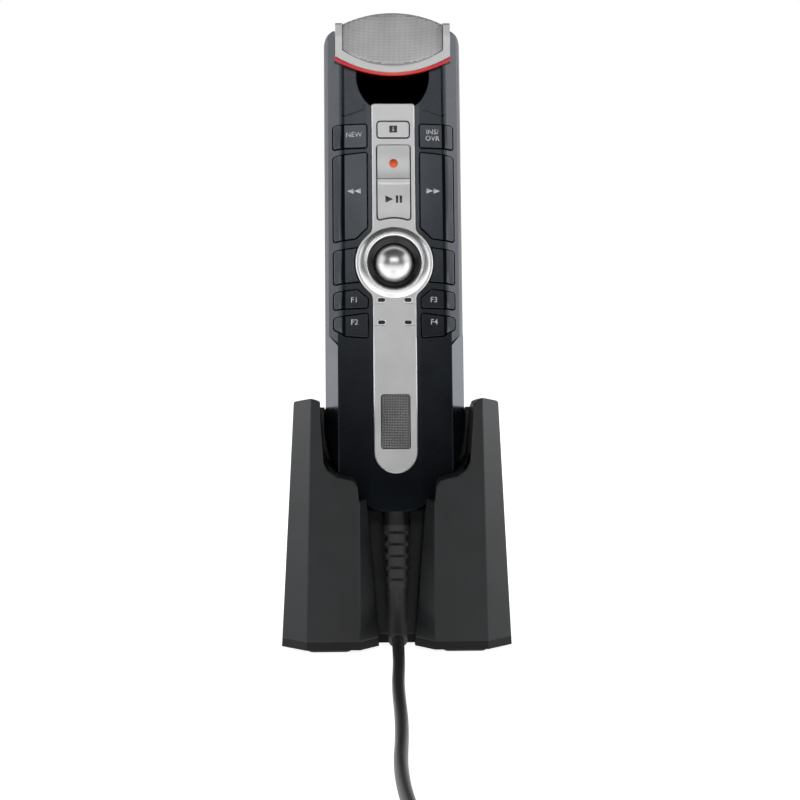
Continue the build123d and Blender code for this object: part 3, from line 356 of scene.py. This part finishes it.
def glowing_guide():
    """Red light guide, warmer in its middle than at its ends, with painted shade darkening its colour and
    glow behind its front face.
    """
    material, tree, main = new_shader("light_guide_red", specular=0.3)
    outward = remap_mm(tree, side_distance(tree), (0.0, GUIDE_HALF))
    # Painted shade: colour and glow fall nearly to black behind the front face.
    painted_front_shade = remap_mm(tree, from_point(tree, FOOT, "DOT_PRODUCT", OUT), GUIDE_FRONT, GUIDE_DIM, 1.0)
    colour = shade(tree, outward, GUIDE_WARM, GUIDE_DEEP, 0.1, 0.75)
    tree.links.new(times(tree, colour, painted_front_shade), main.inputs["Base Color"])
    tree.links.new(times(tree, colour, painted_front_shade), main.inputs["Emission Color"])
    main.inputs["Emission Strength"].default_value = GUIDE_GLOW
    main.inputs["Roughness"].default_value = 0.25
    raise_bumps(tree, main, noise(tree, 500.0), 0.002)
    return material


def circuit_board():
    """Green board with paler tracks in a fine brick pattern."""
    material, tree, main = new_shader("board_green")
    place = tree.nodes.new("ShaderNodeTexCoord")
    tracks = tree.nodes.new("ShaderNodeTexBrick")
    tracks.inputs["Scale"].default_value = 260.0
    tracks.inputs["Mortar Size"].default_value = 0.012
    tracks.inputs["Color1"].default_value = (0.010, 0.085, 0.030, 1.0)
    tracks.inputs["Color2"].default_value = (0.014, 0.100, 0.038, 1.0)
    tracks.inputs["Mortar"].default_value = (0.030, 0.170, 0.070, 1.0)
    tree.links.new(place.outputs["Object"], tracks.inputs["Vector"])
    tree.links.new(tracks.outputs["Color"], main.inputs["Base Color"])
    main.inputs["Roughness"].default_value = 0.35
    raise_bumps(tree, main, tracks.outputs["Fac"], 0.02)
    return material


def grey(level, blue=0.0):
    """Neutral colour, a little towards blue."""
    return (level * (1 - blue), level * (1 - blue / 3), level * (1 + blue / 2))


body_plastic = shell_plastic()
key_plastic = key_black()
strip_metal = moulded("strip_metal", grey(0.58), grey(0.65), 0.42, grain=3200.0, depth=0.006, metallic=0.85)
head_metal = moulded("head_metal", grey(0.62), grey(0.68), 0.42, grain=3000.0, metallic=0.7)
ring_metal = moulded("ring_metal", grey(0.84), grey(0.90), 0.28, grain=2500.0, depth=0.001, metallic=1.0)
wire_metal = moulded("wire_metal", grey(0.66), grey(0.76), 0.40, grain=900.0, depth=0.002, metallic=0.75)
grille_backing = moulded("grille_backing", grey(0.26), grey(0.34), 0.5, metallic=0.5)
speaker_wire = moulded("speaker_wire", grey(0.30), grey(0.38), 0.34, grain=900.0, depth=0.002, metallic=0.9)
speaker_backing = moulded("speaker_backing", grey(0.015), grey(0.03), 0.5)
ball_chrome = moulded("ball_chrome", grey(0.74), grey(0.80), 0.30, grain=400.0, depth=0.0005, metallic=1.0)
black_plastic = moulded("black_plastic", grey(0.006), grey(0.010), 0.32)
socket_black = moulded("socket_black", grey(0.004), grey(0.007), 0.25, depth=0.001)
cradle_plastic = moulded(
    "cradle_plastic", grey(0.014, 0.08), grey(0.019, 0.08), 0.38, grain=2200.0, depth=0.006, edge=0.9,
    specular=0.32,
)
base_plastic = moulded(
    "base_plastic", grey(0.007), grey(0.010), 0.45, grain=2200.0, depth=0.008, specular=0.2
)
black_rubber = moulded("black_rubber", grey(0.016), grey(0.024), 0.50, grain=1600.0, depth=0.012)
cord_jacket = moulded("cord_jacket", grey(0.012), grey(0.018), 0.42, grain=1400.0, depth=0.010)
steel = bare_metal("steel", grey(0.52), grey(0.64), 0.28)
silicone = moulded("silicone", grey(0.22), grey(0.30), 0.6)
foam = moulded("foam", grey(0.03), grey(0.08), 0.9, grain=1100.0, depth=0.15, blotch=700.0)
lamp = moulded("lamp", (0.75, 0.72, 0.55), (0.85, 0.82, 0.65), 0.3, depth=0.002)
legend_ink = moulded("legend_ink", grey(0.50, 0.03), grey(0.58, 0.03), 0.5, depth=0.001)
dark_ink = moulded("dark_ink", grey(0.020, 0.1), grey(0.028, 0.1), 0.5, depth=0.001)
record_ink = moulded("record_ink", (0.68, 0.10, 0.028), (0.76, 0.12, 0.035), 0.45, depth=0.001)
light_guide_red = glowing_guide()
board_green = circuit_board()

FINISHES = [
    (body_plastic, ["front_shell", "rear_shell", "trigger"]),
    (
        key_plastic,
        ["new_key", "insert_key", "rewind_key", "forward_key", "left_mouse_key", "right_mouse_key"]
        + [f"f{i}_key" for i in range(1, 5)],
    ),
    (strip_metal, ["centre_strip", "info_key", "record_play_rocker"]),
    (head_metal, ["head_frame"]),
    (ring_metal, ["trackball_ring"]),
    (grille_backing, ["grille_mesh"]),
    (speaker_backing, ["speaker_grille"]),
    (ball_chrome, ["trackball"]),
    (black_plastic, ["indicator_windows", "speaker_driver", "trackball_cage", "optical_sensor"]),
    (black_plastic, ["board_chips", "cord_collar", "plug_body", "plug_tongue", "head_plate"]),
    (socket_black, ["trackball_socket"]),
    (cradle_plastic, ["cradle_shell"]),
    (base_plastic, ["base_plate"]),
    (black_rubber, ["strain_relief", "rubber_feet"]),
    (cord_jacket, ["cord_run", "cord_coil", "cord_tail"]),
    (steel, ["shell_screws", "base_screws", "bearing_balls", "ballast_weight", "plug_shell"]),
    (steel, ["dome_switches", "microphone_capsule"]),
    (silicone, ["key_membrane"]),
    (foam, ["grille_foam"]),
    (lamp, ["indicator_lamps"]),
    (light_guide_red, ["light_guide"]),
    (board_green, ["main_board"]),
]
for finish, names in FINISHES:
    for node_name in names:
        for slot in nodes[node_name].material_slots:
            slot.material = finish


# ---------------------------------------------------------------- softened edges
WELD_WITHIN, SHARP_FROM = 0.002, 28.0
KEY_EDGE, PLUG_EDGE = 0.15, 0.4


def soften(names, width):
    """Small rounded edges on CAD nodes, so that each edge catches the light."""
    for name in names:
        weld = nodes[name].modifiers.new("weld", "WELD")
        weld.merge_threshold = WELD_WITHIN * MM
        round_off = nodes[name].modifiers.new("rounded_edges", "BEVEL")
        round_off.width = width * MM
        round_off.segments = 3
        round_off.limit_method = "ANGLE"
        round_off.angle_limit = radians(SHARP_FROM)
        round_off.harden_normals = True
        round_off.use_clamp_overlap = False


soften([name for name in nodes if name.endswith("_key")], KEY_EDGE)
soften(["plug_body"], PLUG_EDGE)


# ---------------------------------------------------------------- building pieces
def new_piece(name, bm, material, body="microphone"):
    """Finished object from a mesh under construction, riding on a body."""
    bm.normal_update()
    mesh = bpy.data.meshes.new(name)
    bm.to_mesh(mesh)
    bm.free()
    mesh.materials.append(material)
    for polygon in mesh.polygons:
        polygon.use_smooth = True
    piece = bpy.data.objects.new(name, mesh)
    bpy.context.scene.collection.objects.link(piece)
    if body:
        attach(piece, body)
    return piece


def tube(bm, places, radius, sides=16, closed=False):
    """Round tube along a row of points, its rings turned as little as possible."""
    count = len(places)
    forward = (places[1] - places[0]).normalized()
    sideways = forward.orthogonal().normalized()
    rings = []
    for i, place in enumerate(places):
        ahead = places[(i + 1) % count if closed else min(i + 1, count - 1)]
        behind = places[i - 1 if closed else max(i - 1, 0)]
        heading = (ahead - behind).normalized()
        sideways = (sideways - heading * sideways.dot(heading)).normalized()
        upward = heading.cross(sideways)
        ring = []
        for k in range(sides):
            turn = tau * k / sides
            ring.append(bm.verts.new(place + (sideways * cos(turn) + upward * sin(turn)) * radius))
        rings.append(ring)
    pairs = list(zip(rings, rings[1:]))
    if closed:
        pairs.append((rings[-1], rings[0]))
    for low, high in pairs:
        for k in range(sides):
            bm.faces.new((low[k], low[(k + 1) % sides], high[(k + 1) % sides], high[k]))
    if not closed:
        bm.faces.new(list(reversed(rings[0])))
        bm.faces.new(rings[-1])


ABOVE_ALL = 40.0


def skin_of(node):
    """Search tree over a CAD node's faces."""
    mesh = nodes[node].data
    return BVHTree.FromPolygons([v.co for v in mesh.vertices], [p.vertices for p in mesh.polygons])


def laid_on(skin, x, y, proud):
    """Place `proud` millimetres over a skin, at x and y in the microphone's frame."""
    place, *_ = skin.ray_cast(on_mic(x, y, ABOVE_ALL), -OUT)
    if place is None:
        raise ValueError(f"nothing under {x}, {y}")
    return place + OUT * (proud * MM)


def laid_path(skin, corners, proud, step=0.3):
    """Points along straight runs between corners, laid on a skin."""
    places = []
    for (x0, y0), (x1, y1) in zip(corners, corners[1:]):
        pieces = max(1, round(sqrt((x1 - x0) ** 2 + (y1 - y0) ** 2) / step))
        for i in range(pieces):
            places.append(laid_on(skin, x0 + (x1 - x0) * i / pieces, y0 + (y1 - y0) * i / pieces, proud))
    places.append(laid_on(skin, *corners[-1], proud))
    return places


# ---------------------------------------------------------------- woven wire
HEAD_HALF, HEAD_SIDE_LOW, HEAD_SIDE_TOP = 17.1, 157.9, 167.3
HEAD_LOWEST, HEAD_CROWN = 152.75, 170.5
DOME_R, DOME_V, DOME_W = 60.0, 161.0, -46.6


def bow(x, middle, ends, half):
    """Height at x of an arc through a middle point and two end points."""
    sagitta = abs(middle - ends)
    radius = (half**2 + sagitta**2) / (2 * sagitta)
    drop = radius - sqrt(radius**2 - x**2)
    return middle + (drop if ends > middle else -drop)


def weave(name, inside, height, x_limits, y_limits, pitch, radii, swing, material):
    """Two sets of wires that pass over and under each other, laid on a surface."""
    bm = bmesh.new()
    columns = round((x_limits[1] - x_limits[0]) / pitch[0])
    rows = round((y_limits[1] - y_limits[0]) / pitch[1])
    xs = [x_limits[0] + (i + 0.5) * (x_limits[1] - x_limits[0]) / columns for i in range(columns)]
    ys = [y_limits[0] + (i + 0.5) * (y_limits[1] - y_limits[0]) / rows for i in range(rows)]
    for along in (True, False):
        for i, fixed in enumerate(xs if along else ys):
            run = ys if along else xs
            wire = []
            for k, moving in enumerate(run):
                x, y = (fixed, moving) if along else (moving, fixed)
                if inside(x, y):
                    lift = swing if (i + k + along) % 2 else -swing
                    wire.append(on_mic(x, y, height(x, y) + lift))
            if len(wire) > 2:
                tube(bm, wire, radii[0 if along else 1] * MM, sides=5)
    return new_piece(name, bm, material)


def in_head(x, y):
    """Whether a point is inside the head's U."""
    low = bow(x, HEAD_LOWEST, HEAD_SIDE_LOW, HEAD_HALF)
    high = bow(x, HEAD_CROWN, HEAD_SIDE_TOP, HEAD_HALF)
    return low < y < high


def dome_height(x, y):
    """Height of the domed grille over the parting plane."""
    return DOME_W + sqrt(DOME_R**2 - x**2 - (y - DOME_V) ** 2)


SPEAKER_HALF, SPEAKER_LOW, SPEAKER_TOP, SPEAKER_FACE = 4.85, 21.5, 39.65, 8.6
HEAD_PITCH, HEAD_WIRES, HEAD_SWING = (0.42, 0.52), (0.13, 0.10), 0.08
SPEAKER_PITCH, SPEAKER_WIRES, SPEAKER_SWING = (0.55, 0.55), (0.13, 0.13), 0.10

weave(
    "head_weave",
    in_head,
    lambda x, y: dome_height(x, y) + HEAD_SWING,
    (-HEAD_HALF, HEAD_HALF),
    (HEAD_LOWEST, HEAD_CROWN),
    HEAD_PITCH,
    HEAD_WIRES,
    HEAD_SWING,
    wire_metal,
)
weave(
    "speaker_weave",
    lambda x, y: True,
    lambda x, y: SPEAKER_FACE + SPEAKER_SWING + SPEAKER_WIRES[0],
    (-SPEAKER_HALF, SPEAKER_HALF),
    (SPEAKER_LOW, SPEAKER_TOP),
    SPEAKER_PITCH,
    SPEAKER_WIRES,
    SPEAKER_SWING,
    speaker_wire,
)


# ---------------------------------------------------------------- legends
INK = 0.04  # thickness of printing
CAP_SHARE = 0.73  # height of a capital in the built-in font, as a share of its size
STROKE = 0.012  # how much bolder each letter's outline is made


def printed(name, data, node, x, y, material, body):
    """Flat filled curve or text, laid on a key and given the thickness of printing."""
    holder = bpy.data.objects.new(name, data)
    bpy.context.scene.collection.objects.link(holder)
    mesh = bpy.data.meshes.new_from_object(holder)
    bpy.data.objects.remove(holder)
    bm = bmesh.new()
    bm.from_mesh(mesh)
    bmesh.ops.remove_doubles(bm, verts=bm.verts, dist=0.001)
    skin = skin_of(node)
    for vert in bm.verts:
        vert.co = laid_on(skin, x + vert.co.x, y + vert.co.y, INK)
    piece = new_piece(name, bm, material, body)
    thickness = piece.modifiers.new("thickness", "SOLIDIFY")
    thickness.thickness = INK * MM
    thickness.offset = 0.0
    return piece


def lettering(words, height, gap=1.0):
    """Text centred on the origin, in millimetres."""
    data = bpy.data.curves.new("words", "FONT")
    data.body = words
    data.align_x = "CENTER"
    data.align_y = "CENTER"
    data.size = height / CAP_SHARE
    data.space_character = gap
    data.offset = STROKE
    data.resolution_u = 3
    return data


def filled(outlines):
    """Flat filled curve from closed outlines, in millimetres."""
    data = bpy.data.curves.new("outline", "CURVE")
    data.dimensions = "2D"
    data.fill_mode = "BOTH"
    for outline in outlines:
        spline = data.splines.new("POLY")
        spline.points.add(len(outline) - 1)
        for target, (x, y) in zip(spline.points, outline):
            target.co = (x, y, 0.0, 1.0)
        spline.use_cyclic_u = True
    return data


def block(x0, x1, y0, y1):
    """Outline of a rectangle."""
    return [(x0, y0), (x1, y0), (x1, y1), (x0, y1)]


def triangle(x0, x1, half):
    """Outline of a triangle that points from x0 to x1."""
    return [(x0, -half), (x1, 0.0), (x0, half)]


def disc(radius, corners=32):
    """Outline of a disc."""
    return [(radius * cos(tau * i / corners), radius * sin(tau * i / corners)) for i in range(corners)]


WORDS = {
    "new_legend": ("NEW", "new_key", -13.4, 129.2, 1.75),
    "insert_legend": ("INS/", "insert_key", 13.4, 130.15, 1.75),
    "overwrite_legend": ("OVR", "insert_key", 13.4, 127.85, 1.75),
    "f1_legend": ("F1", "f1_key", -13.6, 72.0, 1.9),
    "f2_legend": ("F2", "f2_key", -13.6, 64.4, 1.9),
    "f3_legend": ("F3", "f3_key", 13.3, 72.0, 1.9),
    "f4_legend": ("F4", "f4_key", 13.3, 64.4, 1.9),
}
for legend, (words, key, across, along, height) in WORDS.items():
    printed(legend, lettering(words, height, 1.02), key, across, along, legend_ink, key)

WIND_X, WIND_Y, WIND_STARTS, ARROW_L, ARROW_HALF = 13.5, 109.6, (-2.3, 0.1), 2.2, 0.95
for hand, key in ((-1, "rewind_key"), (1, "forward_key")):
    arrows = [triangle(hand * start, hand * (start + ARROW_L), ARROW_HALF) for start in WIND_STARTS]
    name = key.replace("key", "arrows")
    printed(name, filled(arrows), key, hand * WIND_X, WIND_Y, legend_ink, key)

DOT = [disc(1.55)]
PLAY = [triangle(-2.8, -0.2, 1.2), block(0.7, 1.5, -1.25, 1.25), block(2.0, 2.8, -1.25, 1.25)]
INFO = [block(-1.3, 1.3, -1.2, 1.2), block(-0.22, 0.22, -0.75, 0.2), block(-0.22, 0.22, 0.45, 0.8)]
MARKS = {
    "record_dot": (DOT, "record_play_rocker", 118.9, record_ink),
    "play_mark": (PLAY, "record_play_rocker", 106.5, dark_ink),
    "info_mark": (INFO, "info_key", 130.8, dark_ink),
}
for mark, (outlines, key, along, ink) in MARKS.items():
    printed(mark, filled(outlines), key, 0.0, along, ink, key)


# ---------------------------------------------------------------- highlight rims, shaded grooves and ridges
strip_skin = skin_of("centre_strip")
shell_skin = skin_of("front_shell")
LAMP_X, LAMP_ROWS, LAMP_HALF_W, LAMP_HALF_H = 4.5, (71.9, 64.25), 1.42, 0.84
STRIP_FACE = 9.2
RIM_R, RIM_STEPS = 0.16, 24


def lamp_highlight_rims():
    """Bright metal rim round each indicator, a painted highlight standing in for the light on the bevelled
    edge of its window.
    """
    bm = bmesh.new()
    for row in LAMP_ROWS:
        for hand in (1, -1):
            ring = []
            reach = LAMP_HALF_W - LAMP_HALF_H
            for i in range(RIM_STEPS):
                turn = tau * i / RIM_STEPS
                shift = reach if cos(turn) > 0 else -reach
                x = hand * LAMP_X + shift + LAMP_HALF_H * cos(turn)
                ring.append(on_mic(x, row + LAMP_HALF_H * sin(turn), STRIP_FACE))
            tube(bm, ring, RIM_R * MM, sides=8, closed=True)
    return new_piece("indicator_highlight_rims", bm, ring_metal)


GROOVE_ROWS, GROOVE_IN, GROOVE_OUT, GROOVE_R = (70.5, 63.1), 3.6, 7.0, 0.05


def groove_shade_lines():
    """Dark lines of painted shade, drawn in dark ink for the fine engraved grooves under each pair of
    indicators, to the strip's edges.
    """
    bm = bmesh.new()
    for row in GROOVE_ROWS:
        for hand in (1, -1):
            corners = [(hand * GROOVE_IN, row), (hand * GROOVE_OUT, row)]
            # Painted shade: each engraved groove is a dark tube laid on the strip, not a cut.
            tube(bm, laid_path(strip_skin, corners, 0.0), GROOVE_R * MM, sides=6)
    return new_piece("engraved_groove_shade", bm, dark_ink)


CHEVRON = [(10.0, 139.6), (10.0, 138.0), (16.6, 135.9), (17.6, 136.6)]
RIDGE_R = 0.22


def chevrons():
    """Raised ridges on the shell, over the upper keys."""
    bm = bmesh.new()
    for hand in (1, -1):
        corners = [(hand * x, y) for x, y in CHEVRON]
        tube(bm, laid_path(shell_skin, corners, 0.0), RIDGE_R * MM, sides=8)
    return new_piece("shell_ridges", bm, key_plastic)


lamp_highlight_rims()
groove_shade_lines()
chevrons()

# ---------------------------------------------------------------- cord
CORD_R = 2.0
CORD_D = 2 * CORD_R
COIL_CENTRE, COIL_MID_R, COIL_WIDE, COIL_HIGH = (-22.0, -257.0), 24.0, 4, 4
ROUTE = [
    (0.0, -37.7, 6.45),
    (0.0, -47.1, 2.0),
    (-0.4, -60.0, 2.0),
    (-1.6, -84.0, 2.0),
    (-1.6, -124.0, 2.0),
    (-4.0, -164.0, 2.0),
    (-1.5, -201.0, 2.0),
    (6.0, -228.0, 2.0),
    (8.0, -245.5, 2.0),
]
TAIL = [
    (-10.5, -227.2, 13.6),
    (4.0, -228.6, 11.0),
    (15.0, -234.8, 7.6),
    (20.3, -245.5, 5.0),
    (21.5, -256.5, 4.0),
]
STEPS_PER_TURN = 16
COIL_TURNS, LAYER_TURNS, CLIMB_TURNS = 13.75, 3.4, 0.35


def coil_points():
    """Control points of the coil: layers wound inward and outward by turns, one on another."""
    outer = COIL_MID_R + (COIL_WIDE - 1) * CORD_R
    inner = COIL_MID_R - (COIL_WIDE - 1) * CORD_R
    swell = 1 / cos(pi / STEPS_PER_TURN)
    points = []
    for i in range(1, int(COIL_TURNS * STEPS_PER_TURN) + 1):
        turn = i / STEPS_PER_TURN
        layer = min(int(turn / LAYER_TURNS), COIL_HIGH - 1)
        within = turn - layer * LAYER_TURNS
        crossed = min(within / (LAYER_TURNS - CLIMB_TURNS), 1.0)
        climbed = max(within - LAYER_TURNS + CLIMB_TURNS, 0.0) / CLIMB_TURNS if layer < COIL_HIGH - 1 else 0.0
        radius = swell * (outer + (inner - outer) * (crossed if layer % 2 == 0 else 1 - crossed))
        across = COIL_CENTRE[0] + radius * cos(tau * turn)
        along = COIL_CENTRE[1] - radius * sin(tau * turn)
        points.append((across, along, CORD_R + (layer + climbed) * CORD_D))
    return points


def spline_points(points):
    """Points along the NURBS spline that has these control points, in metres."""
    data = bpy.data.curves.new("route", "CURVE")
    data.dimensions = "3D"
    spline = data.splines.new("NURBS")
    spline.points.add(len(points) - 1)
    for target, point in zip(spline.points, points):
        target.co = (*(c * MM for c in point), 1.0)
    spline.order_u = 3
    spline.use_endpoint_u = True
    spline.resolution_u = 8
    holder = bpy.data.objects.new("route", data)
    bpy.context.scene.collection.objects.link(holder)
    mesh = bpy.data.meshes.new_from_object(holder)
    places = [v.co.copy() for v in mesh.vertices]
    bpy.data.objects.remove(holder)
    return places


cord_places = spline_points(ROUTE + coil_points() + TAIL)
cord_build = bmesh.new()
tube(cord_build, cord_places, CORD_R * MM)
cord = new_piece("cord", cord_build, cord_jacket, body=None)
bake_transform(cord)
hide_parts("cord_run", "cord_coil", "cord_tail")
